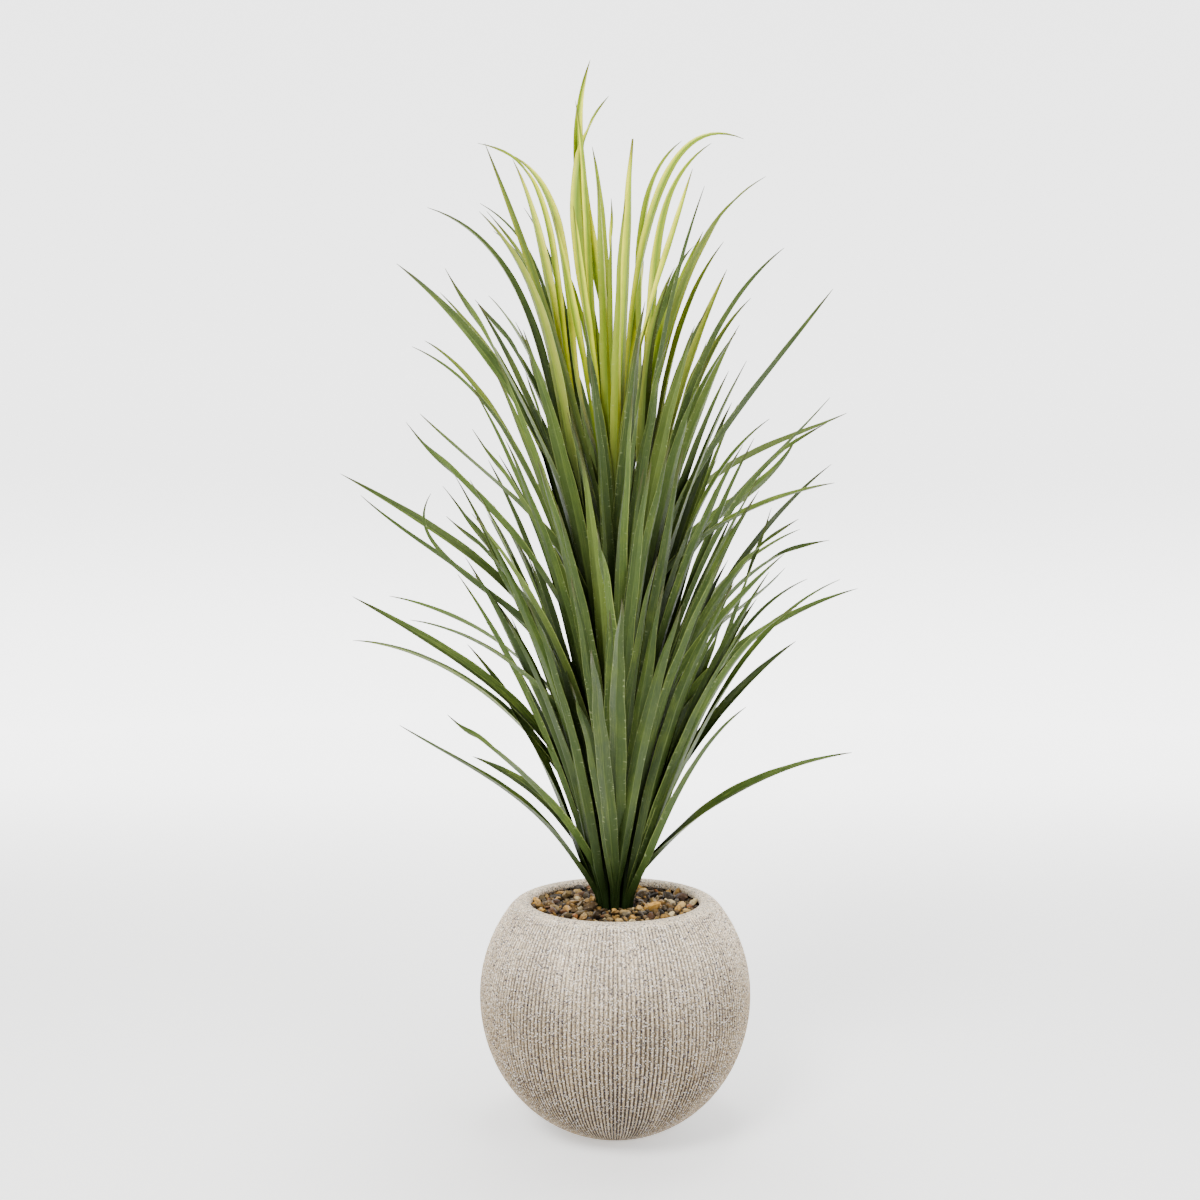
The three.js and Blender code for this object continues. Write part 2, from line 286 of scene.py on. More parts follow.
def makeCamera(s):
    # level but for its pitch; the shift sets the planter's axis beside the middle of the frame
    data = bpy.data.cameras.new("camera")
    camera = bpy.data.objects.new("camera", data)
    bpy.context.scene.collection.objects.link(camera)
    camera.location = (0, -s["distance"], s["height"])
    camera.rotation_euler = (np.radians(90 - s["pitch"]), 0, 0)
    data.sensor_width = s["sensor"]
    data.lens = s["sensor"] * s["pixelsPerUnit"] / s["frame"]
    data.shift_x = 0.5 - s["axisPixel"] / s["frame"]
    bpy.context.scene.camera = camera


studio = {
    "middle": (0.3, 1.5, 3.0),  # rings of the level floor
    "floor": 5.0,  # radius of the level part
    "sweep": 2.0,  # radius of the curve up into the wall
    "sweepRows": 24,
    "wall": 7.0,
    "columns": 96,
    "paint": (0.95, 0.95, 0.945),
    "wallPaint": (0.2, 0.2, 0.2),
    "glow": (0.55, 0.62),  # own light of the floor and of the wall
    "backGlow": 2.5,  # what the far side has more
    "air": 0.22,
    "lights": (  # name, place, aimed at, size, power, colour
        ("keyLight", (-1.1, -2.0, 2.4), (0, 0, 0.6), 1.0, 116, (1, 0.985, 0.96)),
        ("fillLight", (1.7, -1.9, 1.5), (0, 0, 0.5), 1.2, 48, (0.99, 0.99, 1)),
        ("topLight", (0.1, 0.3, 2.8), (0, 0, 0.9), 1.0, 62, (1, 1, 1)),
    ),
}


def makeStage(s):
    # round floor that sweeps up into a wall all round: level, then a quarter circle, then upright
    turn = np.linspace(0, np.pi / 2, s["sweepRows"])
    edge = s["floor"] + s["sweep"]
    reach = np.concatenate([s["middle"], s["floor"] + s["sweep"] * np.sin(turn), [edge]])
    up = np.concatenate([np.zeros(len(s["middle"])), s["sweep"] * (1 - np.cos(turn)), [s["wall"]]])
    angle = wholeTurn(s["columns"])
    rings = around(reach[:, None], angle, up[:, None]).reshape(-1, 3)
    points = np.concatenate([rings, [[0, 0, 0]]])
    quads = ringQuads(len(reach), s["columns"])[:, ::-1]
    floor = meshPiece("studio_floor", points, quads, fan(len(rings), 0, s["columns"]), {}, stagePaint(s))


def stagePaint(s):
    # matt paint that glows a little, more on the far side, and greyer on the wall
    material, shader, place = startMaterial("paleBackdrop")
    material.cycles.emission_sampling = "NONE"
    _, y, z = axes(place)
    behind = addRange(y, 0.3, 3.0, 0.0, s["backGlow"])
    raised = addRange(z, 0.0, 1.2, *s["glow"])
    wall = addRange(z, 0.0, 1.5)
    feedAll(shader, {
        "Base Color": addMix(wall, s["paint"], s["wallPaint"]),
        "Roughness": 0.9,
        "Emission Color": (1, 1, 1),
        "Emission Strength": addMath("ADD", behind, raised),
    })
    return material


def makeLights(s):
    # white air and soft square lights, each turned to what it is aimed at
    world = bpy.data.worlds.new("studioAir")
    world.use_nodes = True
    feedAll(world.node_tree.nodes["Background"], {"Color": (1, 1, 1), "Strength": s["air"]})
    bpy.context.scene.world = world
    for name, place, target, size, power, colour in s["lights"]:
        data = bpy.data.lights.new(name, "AREA")
        data.size = size
        data.energy = power
        data.color = colour
        light = bpy.data.objects.new(name, data)
        light.location = place
        light.rotation_euler = (Vector(target) - Vector(place)).to_track_quat("-Z", "Y").to_euler()
        bpy.context.scene.collection.objects.link(light)
    print("studio: camera, stage and", len(s["lights"]), "lights")


# planter

planterLook = {
    "globeRadius": 162.5 * mm,
    "equator": 160 * mm,
    "footRadius": 50 * mm,
    "power": 2.03,
    "shoulderStart": 259 * mm,
    "lipRadius": 111 * mm,
    "mouthRadius": 102 * mm,
    "wall": 11 * mm,
    "floor": 14 * mm,
    "ribs": 198,
    "ribPhases": (0.0, 0.20, 0.5, 0.80),  # where the columns stand across one rib
    "ribDepths": (1.0, 0.55, 0.0, 0.55),  # how deep the groove is there
    "grooveDepth": 2.2 * mm,
    "grooveShift": 0.14,  # how far a groove may stray, in ribs
    "wander": 0.05,  # how far all the columns wander together, in ribs
    "comb": (0.001, 0.012, 0.2635, 0.2695),  # heights in metres where the ribs rise, and where they fade
    "grain": (0.16 * mm, 0.12 * mm),  # fine relief and its limit
    "footRing": 14 * mm,  # width of the flat ring under the foot
    "footRound": 2 * mm,
    "lipRound": (4.5 * mm, 5 * mm),  # the lip's inner rounding, across and down
    "insideHeights": (262, 258.5, 249, 220, 160, 90, 40),  # mm
    "bellyRows": 84,
    "shoulderRows": 12,
    "lipRows": 7,
    "lowStone": "c0a77e",
    "highStone": "dccbb0",
    # painted highlight on the ridges of the ribs
    "cloud": "a99780",
    "ridgeHighlightColour": "e4d5b6",
    "paleGrit": "f4ecdc",
    "darkGrit": "6a6158",
    "grooveShade": "2f2a25",
    "specks": (  # cells a metre, size, share of the cells, colour
        (560, 0.52, 0.30, "3a3c50"), (420, 0.42, 0.22, "1c2036"), (640, 0.44, 0.20, "ffffff"),
    ),
    "paintedLightByHeight": (  # painted shade low down and painted light near the lip: brightness by height, as a tint
        (0.03, (0.66, 0.63, 0.60)), (0.165, (0.68, 0.65, 0.61)), (0.25, (1.2, 1.15, 1.1)),
    ),
}


def bezier(points, count):
    # quadratic Bezier through three [radius, height] points
    t = np.linspace(0, 1, count)[:, None]
    a, b, c = (np.array(p) for p in points)
    return (1 - t) ** 2 * a + 2 * t * (1 - t) * b + t * t * c


def planterProfile(s):
    # foot, then a superellipse up to the equator, a sphere above it, a rounded lip and the hollow inside
    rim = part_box("pot")[1][2]
    depth = s["equator"] / (1 - (s["footRadius"] / s["globeRadius"]) ** s["power"]) ** (1 / s["power"])

    def belly(z, radius, drop):
        # radius at a height: a superellipse below the equator, a circle above it
        low = radius * (1 - np.clip((s["equator"] - z) / drop, 0, 1) ** s["power"]) ** (1 / s["power"])
        high = np.sqrt(np.maximum(radius ** 2 - (z - s["equator"]) ** 2, 0))
        return np.where(z < s["equator"], low, high)

    z = np.linspace(0, s["shoulderStart"], 4000)
    r = belly(z, s["globeRadius"], depth)
    arc = np.concatenate([[0], np.cumsum(np.hypot(np.diff(r), np.diff(z)))])
    steps = np.linspace(0, arc[-1], s["bellyRows"])
    side = np.stack([np.interp(steps, arc, r), np.interp(steps, arc, z)], -1)
    start = side[-1]
    slope = (start[1] - s["equator"]) / start[0]
    corner = (start[0] - slope * (rim - start[1]), rim)
    shoulder = bezier((start, corner, (s["lipRadius"], rim)), s["shoulderRows"])[1:]
    edge = s["mouthRadius"]
    across, down = s["lipRound"]
    lip = bezier(((edge + across, rim), (edge, rim), (edge, rim - down)), s["lipRows"])
    inside = np.array([*s["insideHeights"], s["floor"] / mm]) * mm
    innerRadius = belly(inside, s["globeRadius"] - s["wall"], depth - s["floor"] + 1 * mm)
    innerRadius[0] = edge
    hollow = np.stack([innerRadius, inside], -1)
    under = np.array([[s["footRadius"] - s["footRing"], 0], [s["footRadius"] - s["footRound"], 0]])
    return np.concatenate([under, side, shoulder, lip, hollow])


def makePlanter(s, material):
    # radius = profile radius less the groove's depth and the grain; the columns wander a little round
    profile = planterProfile(s)
    radius, height = (profile[:, [k]] for k in (0, 1))
    rib = np.repeat(np.arange(s["ribs"]), len(s["ribPhases"]))
    phase = np.tile(s["ribPhases"], s["ribs"])
    groove = np.tile(s["ribDepths"], s["ribs"])
    shift = s["grooveShift"] * (chance(rib, 5) - 0.5) * (groove > 0.9)
    theta = 2 * np.pi * (rib + phase + shift) / s["ribs"]
    wander = s["wander"] * rippleField(theta, height, 9, 41) * 2 * np.pi / s["ribs"]
    outside = np.zeros((len(profile), 1))
    outside[3:s["bellyRows"] + s["shoulderRows"]] = 1    # from just above the foot to the lip
    rise, risen, fading, faded = s["comb"]
    fade = (1 - smoothStep(fading, faded, height)) * smoothStep(rise, risen, height) * outside
    strength = 0.84 + 0.18 * rippleField(theta, height, 14, 7) + 0.34 * (chance(rib, 9) - 0.5)
    deeper = 1.0 + 0.45 * (1 - smoothStep(0.03, 0.13, height))
    carve = np.clip(strength, 0.3, 1.2) * deeper * fade
    depth = s["grooveDepth"] * carve * groove
    relief, most = s["grain"]
    grain = np.minimum(relief * rippleField(theta * 9, height * 14, 12, 3), most)
    ringRadius = radius - depth - np.abs(grain) * fade
    angle = theta + wander * fade
    points = around(ringRadius, angle, height).reshape(-1, 3)
    rows, columns = angle.shape
    quads = ringQuads(rows, columns)
    foot = len(points)
    fans = [fan(foot, 0, columns, True), fan(foot + 1, foot - columns, columns)]
    allPoints = np.concatenate([points, [[0, 0, 0], [0, 0, s["floor"]]]])
    looks = {"groove": carve * groove, "combed": fade + 0 * angle}
    looks = {key: np.append(value, [0, 0]) for key, value in looks.items()}
    obj = meshPiece("ribbed_planter", allPoints, quads, np.concatenate(fans), looks, material)
    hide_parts("pot")
    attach(obj, "root")
    print("planter:", len(quads) * 2, "triangles")


def addSpecks(place, body, scale, size, share, colour):
    # round specks: the middles of randomly chosen cells, each more or less dark
    cells = newNode("TexVoronoi", place)
    feedAll(cells, {"Vector": place, "Scale": scale})
    split = newNode("SeparateColor", body)
    feed(split.inputs[0], cells.outputs["Color"])
    dot = addRange(cells.outputs["Distance"], size * 1.25, size * 0.75)
    chosen = addMath("LESS_THAN", split.outputs[0], share)
    depth = addMath("MULTIPLY_ADD", split.outputs[1], 0.6, 0.4)
    return addMix(times(times(dot, chosen), depth), body, colour)


def castStone(s):
    # pale speckled stone: warm low down, cooler near the lip, with painted shade in the grooves, a painted
    # highlight on the ridges, and painted shade low down and painted light near the lip
    material, shader, place = startMaterial("castStone")
    height = axes(place)[2]
    groove = addAttribute(material, "groove")
    combed = addAttribute(material, "combed")
    body = addMix(addRange(height, 0.10, 0.26), s["lowStone"], s["highStone"])
    body = stain(body, addNoise(place, 14, 4), 0.38, 0.68, 0.35, s["cloud"])
    # painted highlight: the ridges of the ribs are mixed towards a paler colour
    ridgeHighlight = times(addRange(groove, 0.10, 0.0, 0.0, 0.45), combed)
    body = addMix(ridgeHighlight, body, s["ridgeHighlightColour"])
    grit = addNoise(place, 640, 2, 0.7)
    body = stain(body, grit, 0.46, 0.58, 0.7, s["paleGrit"])
    darkGrit = addNoise(place, 720, 2, 0.7)
    body = stain(body, darkGrit, 0.5, 0.6, 0.72, s["darkGrit"])
    # painted shade in the grooves of the ribs, stronger low down
    low = addRange(height, 0.26, 0.06, 0.7, 0.95)
    hollow = times(addRange(groove, 0.08, 0.75), low)
    body = addMix(hollow, body, s["grooveShade"])
    for scale, size, share, colour in s["specks"]:
        body = addSpecks(place, body, scale, size, share, colour)
    # painted shade low down and painted light near the lip, multiplied over the whole stone
    body = addMix(1.0, body, addRamp(height, s["paintedLightByHeight"]), "MULTIPLY")
    feedAll(shader, {"Base Color": body, "Roughness": 0.95, "Specular IOR Level": 0.15})
    addBump(addMath("ADD", grit, darkGrit), 0.6, 0.0012, shader)
    return material


makeCamera(view)
makeStage(studio)
makeLights(studio)
makePlanter(planterLook, castStone(planterLook))


# gravel

gravelLook = {
    "bedHeight": 256.5 * mm,
    "heap": 4 * mm,  # how much higher it lies in the middle
    "fieldRadius": 116 * mm,
    "bundleRadius": 23 * mm,
    # stone diameter in mm and how many are tried
    "sizes": ((14.0, 50), (11.0, 110), (8.0, 260), (5.5, 520), (4.0, 500)),
    "sizeSpread": (0.85, 1.3),
    "places": 30,  # how many places a stone may try
    "spacing": 0.76,  # the share of their sizes that two stones keep apart
    "planes": 11,  # cutting planes on a stone
    "cut": (0.5, 0.95),  # how far out they lie
    "sharpness": 50,
    "stretch": ((1.0, 1.5), (0.62, 1.0), (0.5, 0.85)),  # long, across and thick
    "tilt": 0.5,
    "lift": (0.1, 0.5),  # how far a stone's middle stands out of the bed, in its half sizes
    "unevenness": (-0.5, 1.5),
    "rings": 4,
    "columns": 7,
    "bedRings": 28,
    "bedColumns": 96,
    "bedBumps": (0.9 * mm, 1.6 * mm),
    "seed": 12,
    "gritLook": {"tone": 0.42, "brightnessAndGapShade": -0.45},  # what the grit carries where each stone has its own draw; the grit's low value turns it near black, painted shade in the gaps between the stones
    "tones": (
        (0.0, "8c6c30"), (0.12, "bd9444"), (0.23, "57431f"), (0.33, "9f7c3c"),
        (0.43, "d8ae5c"), (0.52, "7c6c48"), (0.62, "c4a86c"), (0.73, "8c5c2a"),
        (0.80, "463a28"), (0.88, "ecdcae"), (0.96, "4c4a42"),
    ),
    "tint": (0.90, 0.80, 0.66),
    "mottle": "3a2a19",
    "fleck": "e6cf9c",
    # painted shade in the nooks
    "nookShade": "120b05",
}


def layStones(s):
    # big stones first, each tried at random places until it clears the ones already laid
    rng = np.random.default_rng(s["seed"])
    laid = []
    for size, tries in s["sizes"]:
        for _ in range(tries):
            half = 0.5 * size * mm * rng.uniform(*s["sizeSpread"])
            for _ in range(s["places"]):
                reach = np.sqrt(rng.uniform(0, 1)) * (s["fieldRadius"] - half)
                turn = rng.uniform(0, 2 * np.pi)
                x, y = reach * np.cos(turn), reach * np.sin(turn)
                if reach < s["bundleRadius"] + 0.6 * half:
                    continue
                if laid:
                    others = np.array(laid)
                    gap = np.hypot(others[:, 0] - x, others[:, 1] - y)
                    if np.any(gap < s["spacing"] * (others[:, 2] + half)):
                        continue
                laid.append((x, y, half))
                break
    return np.array(laid), rng


def makeGravel(s, material):
    # each stone: distance along a direction is a high-power blend of random cutting planes, then stretched
    laid, rng = layStones(s)
    count = len(laid)
    lat = np.linspace(0, np.pi, s["rings"] + 2)[1:-1]
    a, b = np.meshgrid(lat, wholeTurn(s["columns"]), indexing="ij")
    body = around(np.sin(a), b, np.cos(a)).reshape(-1, 3)
    directions = np.concatenate([body, [[0, 0, 1], [0, 0, -1]]])
    normals = rng.normal(size=(count, s["planes"], 3))
    normals /= np.linalg.norm(normals, axis=2, keepdims=True)
    offsets = rng.uniform(*s["cut"], (count, s["planes"]))
    facing = np.maximum(np.einsum("vk,spk->svp", directions, normals), 0) / offsets[:, None]
    sharpness = s["sharpness"]
    distance = 1.0 / (np.sum(facing ** sharpness, axis=2) + 0.02) ** (1 / sharpness)
    shape = directions * distance[..., None]
    stretch = [rng.uniform(least, most, count) for least, most in s["stretch"]]
    shape *= np.stack(stretch, -1)[:, None]
    tilt = rng.normal(0, s["tilt"], (count, 2))
    turn = rng.uniform(0, 2 * np.pi, count)
    for axis, angles in enumerate((tilt[:, 0], tilt[:, 1], turn)):
        shape = turnPoints(shape, angles, axis)
    half = laid[:, 2]
    lift = bedTop(np.hypot(laid[:, 0], laid[:, 1]), s)
    lift = lift + half * rng.uniform(*s["lift"], count) + rng.uniform(*s["unevenness"], count) * mm
    centre = np.stack([laid[:, 0], laid[:, 1], lift], -1)
    points = shape * half[:, None, None] + centre[:, None]
    perStone = len(directions)
    columns = s["columns"]
    top = fan(perStone - 2, 0, columns)
    low = fan(perStone - 1, (s["rings"] - 1) * columns, columns, True)
    shifts = (np.arange(count) * perStone)[:, None, None]
    allQuads = (ringQuads(s["rings"], columns)[:, ::-1] + shifts).reshape(-1, 4)
    allTriangles = (np.concatenate([top, low])[:, ::-1] + shifts).reshape(-1, 3)
    bedPoints, bedQuads, bedFans = gritBed(s, count * perStone)
    looks = {}
    for key, value in s["gritLook"].items():
        own = np.repeat(rng.uniform(0, 1, count), perStone)
        looks[key] = np.append(own, np.full(len(bedPoints), value))
    obj = meshPiece("pebble_bed", np.concatenate([points.reshape(-1, 3), bedPoints]),
                    np.concatenate([allQuads, bedQuads]), np.concatenate([allTriangles, bedFans]),
                    looks, material, smooth=False)
    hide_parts("gravel")
    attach(obj, "root")
    print("gravel:", count, "stones")


def bedTop(reach, s):
    # height of the bed: its rim plus a heap that falls off with the square of the reach
    return s["bedHeight"] + s["heap"] * (1 - (reach / s["fieldRadius"]) ** 2)


def turnPoints(points, angles, axis):
    # turns each item's points about one axis, by the cosine and sine of its angle
    p, q = [(1, 2), (2, 0), (0, 1)][axis]
    c = np.cos(angles)[:, None]
    n = np.sin(angles)[:, None]
    result = points.copy()
    result[..., p] = c * points[..., p] - n * points[..., q]
    result[..., q] = n * points[..., p] + c * points[..., q]
    return result


def gritBed(s, first):
    # the fine grit under the stones: a low bumpy disc with a flat underside
    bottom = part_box("gravel")[0][2]
    columns = s["bedColumns"]
    reach = np.concatenate([np.linspace(4, 112, s["bedRings"]), [116.5, 116.5]]) * mm
    r, t = np.meshgrid(reach, wholeTurn(columns), indexing="ij")
    size, most = s["bedBumps"]
    z = bedTop(r, s) + np.clip(size * rippleField(t * 3, r * 30, 14, 23), -most, most)
    z[-2:] = s["bedHeight"] - 2 * mm
    z[-1] = bottom
    points = around(r, t, z).reshape(-1, 3)
    middle = len(points)
    fans = [fan(middle, 0, columns), fan(middle + 1, middle - columns, columns, True)]
    points = np.concatenate([points, [[0, 0, s["bedHeight"] + s["heap"]], [0, 0, bottom]]])
    return points, ringQuads(len(reach), columns) + first, np.concatenate(fans) + first


def riverStone(s):
    # mixed pebbles: tan, ochre, brown, grey, cream and a little slate, each mottled, with painted shade in
    # their nooks and a near-black grit between them as painted shade in the gaps
    material, shader, place = startMaterial("mixedPebbles")
    colour = addRamp(addAttribute(material, "tone"), s["tones"], "CONSTANT")
    mottle = addNoise(place, 260, 4, 0.6)
    colour = stain(colour, mottle, 0.45, 0.68, 0.75, s["mottle"])
    colour = stain(colour, addNoise(place, 520, 3, 0.6), 0.55, 0.72, 0.6, s["fleck"])
    # each stone's own brightness at random, and near black on the grit, painted shade in the gaps between
    # the stones
    dark = addMath("MULTIPLY_ADD", addAttribute(material, "brightnessAndGapShade"), 1.2, 0.12)
    colour = addMix(1.0, colour, dark, "MULTIPLY")
    colour = addMix(1.0, colour, s["tint"], "MULTIPLY")
    # painted shade in the nooks between the stones
    colour = addMix(addNookShade(material, 0.015, 0.78, 0.3, 0.92), colour, s["nookShade"])
    gloss = addRange(mottle, 0.3, 0.7, 0.42, 0.75)
    feedAll(shader, {"Base Color": colour, "Roughness": gloss, "Specular IOR Level": 0.3})
    addBump(mottle, 0.45, 0.001, shader)
    return material


makeGravel(gravelLook, riverStone(gravelLook))


# grass

grassLook = {
    "stems": 8,
    "ring": 22.0,
    "stemRadius": 7.0,
    "stemTipRadius": 5.8,
    "stemFoot": 150.0,
    "stemTops": (640, 600, 610, 620, 635, 605, 570, 600, 770),  # the inner stem, number -1, comes last
    "innerRadius": 8.5,
    "bladesPerStem": 18,
    "innerFill": 4,
    "lowestRoot": 266.0,
    "fan": 21.5,  # degrees that a stem's blades spread to either side
    "collarBlades": 5,
    "collarRoot": 256.0,
    "collarFan": 24.0,
    "rootDepth": 4.0,
    "rootHandle": 0.42,
    "tipHandle": 0.3,
    "sheath": 30.0,
    "sheathRows": 5,
    "rows": 34,
    "section": (-1, -0.9, -0.5, -0.08, 0, 0.08, 0.5, 0.9, 1),  # points across a blade
    "thickness": 0.75,
    "sway": (14.0, 3.0, 0.7),  # sideways drift, slow wave and quick ripple
    "steadySway": 0.2,  # what the outline's blades keep of it
    "outerSwing": (8, 46),  # degrees of twist, least and what chance adds
    "innerSwing": (60, 35),
    "curl": (0.82, 150),  # draws above the first curl their tip by the second, in degrees
    "taperStart": 0.36,
    "waist": 0.30,  # how much the bundle is drawn in at the gravel
    "waistHeight": 254.0,
    "waistReach": 38.0,
    "bluntBlade": 17,  # which of the inner blades ends bluntly
    "greenBlades": (0, 3),  # which of them have lost their yellow
    "tuft": ((262, 330, 420, 560, 800, 1000, 1150, 1280), (30, 62, 105, 150, 150, 110, 60, 15)),
    "mature": ((0.0, "1d2b0e"), (0.35, "324417"), (0.7, "485d24"), (1.0, "5a6d2e")),
    "freshMiddle": ((0.0, "7b9602"), (0.5, "a2b80a"), (1.0, "ccd618")),
    "freshSide": ((0.0, "dce214"), (0.5, "f6f226"), (1.0, "fffc5c")),
    "blotches": ("6f8022", "22340f"),
    "paleVein": "96a346",
    "darkVein": ("15210a", "586f08"),  # mature, then fresh
    # painted shade on one half of the fold, mature, then fresh
    "shadedHalfColour": ("17230a", "65820c"),
    "edge": "a9b75e",
    "midrib": "8a9a55",
    "back": ("3d4f22", "515f1c"),
    "tick": "b9c592",
    # painted shade at the foot of the blades
    "foot": "0e2006",
    "tuftShade": "060b03",
    # painted shade in the nooks between the blades
    "nookShade": "070d03",
    "dryTip": "3d3a1c",
    "throughLight": "a4b522",
}

# the blades that draw the outline, stem by stem: turn from the stem's heading, width, root height,
# root lean, reach and height of the tip, tip lean (degrees and mm). The new growth of the middle comes
# last, and the stems without an entry have only blades by rule
outlineBlades = (
    ((-6, 23, 290, 35, 260, 450, 78), (-10, 18, 300, 23, 165, 740, 18), (-12, 19, 310, 26, 245, 655, 65),
     (6, 20, 322, 24, 200, 580, 55), (2, 19, 415, 21, 240, 795, 50), (12, 20, 430, 21, 250, 705, 85),
     (-8, 17, 450, 19, 230, 840, 65), (8, 19, 540, 16, 245, 880, 40), (0, 24, 610, 16, 240, 1005, 35),
     (-5, 22, 630, 14, 180, 1050, 50), (5, 19, 640, 9, 110, 1065, 35)),
    ((-20, 19, 385, 24, 340, 645, 75), (5, 16, 420, 24, 355, 675, 55), (-10, 17, 450, 22, 285, 725, 70),
     (0, 18, 565, 17, 340, 860, 35), (-15, 18, 590, 14, 185, 1020, 45), (5, 17, 600, 19, 135, 1090, 50),
     (-13, 21, 600, 8, 355, 885, 65)),
    (),
    ((5, 17, 270, 24, 230, 420, 80), (17, 16, 385, 13, 325, 635, 80), (20, 16, 440, 20, 360, 770, 50),
     (0, 18, 580, 16, 325, 1060, 50), (-10, 17, 585, 15, 280, 1055, 55), (15, 17, 610, 13, 115, 1125, 35),
     (10, 20, 610, 34, 295, 980, 60), (5, 17, 620, 23, 190, 1115, 55)),
    ((12, 20, 262, 19, 235, 485, 55), (-6, 19, 360, 16, 190, 770, 42), (6, 21, 325, 11, 290, 635, 60),
     (-10, 21, 345, 25, 310, 580, 85), (2, 20, 400, 8, 118, 805, 30), (-4, 22, 450, 13, 315, 785, 60),
     (0, 20, 520, 14, 230, 845, 40), (8, 17, 555, 16, 220, 930, 65), (-2, 21, 575, 13, 205, 1105, 70),
     (6, 14, 600, 10, 132, 1095, 45), (4, 14, 625, 18, 140, 1105, 60), (-8, 22, 635, 13, 250, 1045, 50)),
    ((0, 19, 295, 32, 230, 510, 55), (-13, 18, 400, 21, 245, 610, 80), (15, 16, 405, 22, 260, 720, 55),
     (3, 17, 430, 22, 240, 720, 60), (-17, 15, 475, 11, 215, 750, -35), (10, 16, 505, 18, 230, 810, 50),
     (-5, 19, 580, 17, 250, 830, 50), (-15, 19, 600, 13, 200, 1000, 35), (-3, 19, 605, 15, 185, 960, 55),
     (-11, 18, 605, 17, 165, 1065, 55)),
    (),
    ((0, 18, 262, 26, 180, 515, 55), (20, 16, 275, 25, 220, 655, 65), (3, 17, 275, 23, 240, 625, 65),
     (10, 16, 395, 23, 225, 720, 65), (-5, 17, 405, 23, 250, 680, 55), (7, 18, 470, 18, 195, 830, 60),
     (17, 19, 575, 15, 255, 760, 80), (5, 17, 595, 13, 70, 1015, 35), (15, 19, 600, 15, 140, 935, 40),
     (-5, 18, 600, 13, 135, 955, 40), (12, 17, 602, 5, 104, 1105, 22)),
    ((205, 10, 670, 14, 165, 1155, 25), (210, 17, 690, 10, 85, 1085, 14),
     (175, 15, 685, 22, 125, 1165, 25), (355, 14, 690, 17, 180, 1135, 60), (30, 16, 710, 22, 95, 1200, 50),
     (235, 16, 705, 5, 36, 1130, 8), (215, 17, 725, 8, 60, 1095, 5), (190, 14, 740, 33, 165, 1170, 85),
     (10, 13, 740, 4, 160, 1195, 110), (340, 13, 760, 26, 120, 1165, 65), (200, 9, 765, 12, 50, 1225, 10),
     (192, 17, 765, 3, 8, 1236, -38), (160, 16, 765, 6, 30, 1180, 10), (320, 15, 768, 7, 115, 1125, 20),
     (180, 20, 768, -5, 30, 1280, -20), (250, 11, 768, 6, 14, 1110, 4), (165, 18, 768, 31, 135, 1180, 60),
     (300, 19, 768, 4, 43, 1172, 6)),
)


def outlineRows(stem, s):
    # the listed blades of a stem, each with its full heading
    heading = 0 if stem < 0 else stem * 360 / s["stems"]
    return [[heading + row[0], *row[1:]] for row in outlineBlades[stem]]


def ruleRow(heading, width, rootHeight, rootLean, tipLean, length, s):
    # a blade known by its length and leans: its tip lies along the mean slant
    slant = np.radians(rootLean + 0.42 * (tipLean - rootLean))
    straight = 0.975 * length
    reach = s["rootDepth"] + straight * np.sin(slant)
    tipHeight = rootHeight + straight * np.cos(slant)
    return [heading, width, rootHeight, rootLean, reach, tipHeight, tipLean]


def fillRows(stem, count, s):
    # the other blades of an outer stem: low and spreading to high and upright, fanned over its sector, and
    # held in where they spread sideways, inside the outline
    for index in range(count):
        key = stem * 37 + index
        climb = (index + 0.15 + 0.7 * chance(key, 1)) / count
        spread = (index * goldenShare + 0.21 * stem + 0.13 * chance(key, 2)) % 1
        heading = stem * 360 / s["stems"] + s["fan"] * (2 * spread - 1)
        held = abs(np.cos(np.radians(heading))) * (1 - 0.6 * climb ** 4)
        fullness = np.sin(np.pi * (0.18 + 0.62 * climb)) * (0.62 + 0.38 * chance(key, 3))
        length = 330 + 150 * fullness + 40 * (chance(key, 4) - 0.5)
        rootLean = (29 - 17 * climb) * (1 - 0.4 * held) + 3 * (chance(key, 5) - 0.5)
        tipLean = rootLean + (30 + 16 * (chance(key, 6) - 0.35) - 6 * climb) * (1 - 0.6 * held)
        width = 14 + 8 * chance(key, 7)
        rootHeight = s["lowestRoot"] + climb * (s["stemTops"][stem] - s["lowestRoot"])
        yield ruleRow(heading, width, rootHeight, rootLean, tipLean, length, s)


def innerRows(s):
    # the other blades of the inner stem, each a golden turn on from the last and a little higher
    for index in range(s["innerFill"]):
        key = 911 + index
        climb = (index + 0.5) / s["innerFill"]
        length = 400 - 90 * climb + 90 * (chance(key, 3) - 0.5)
        rootLean = 9 - 5 * climb + 4 * (chance(key, 5) - 0.5)
        tipLean = rootLean + 16 + 18 * (chance(key, 6) - 0.4)
        width = 14 + 5 * chance(key, 7)
        heading = index * goldenTurn % 360
        yield ruleRow(heading, width, 665 + 100 * climb, rootLean, tipLean, length, s)


def collarRows(stem, s):
    # broad low blades that leave the gravel at a slant and hide the stems' feet
    for index in range(s["collarBlades"]):
        key = 4000 + stem * 41 + index
        climb = (index + 0.8 * chance(key, 1)) / s["collarBlades"]
        spread = (index * goldenShare + 0.37 * stem) % 1
        heading = stem * 360 / s["stems"] + s["collarFan"] * (2 * spread - 1)
        held = abs(np.cos(np.radians(heading)))
        rootLean = (23 - 13 * climb) * (1 - 0.4 * held) + 4 * (chance(key, 5) - 0.5)
        tipLean = rootLean + (20 + 22 * chance(key, 6)) * (1 - 0.3 * held)
        length = 330 + 160 * climb + 110 * (chance(key, 4) - 0.3)
        rootHeight = s["collarRoot"] + 42 * climb
        yield ruleRow(heading, 17 + 6 * chance(key, 7), rootHeight, rootLean, tipLean, length, s)


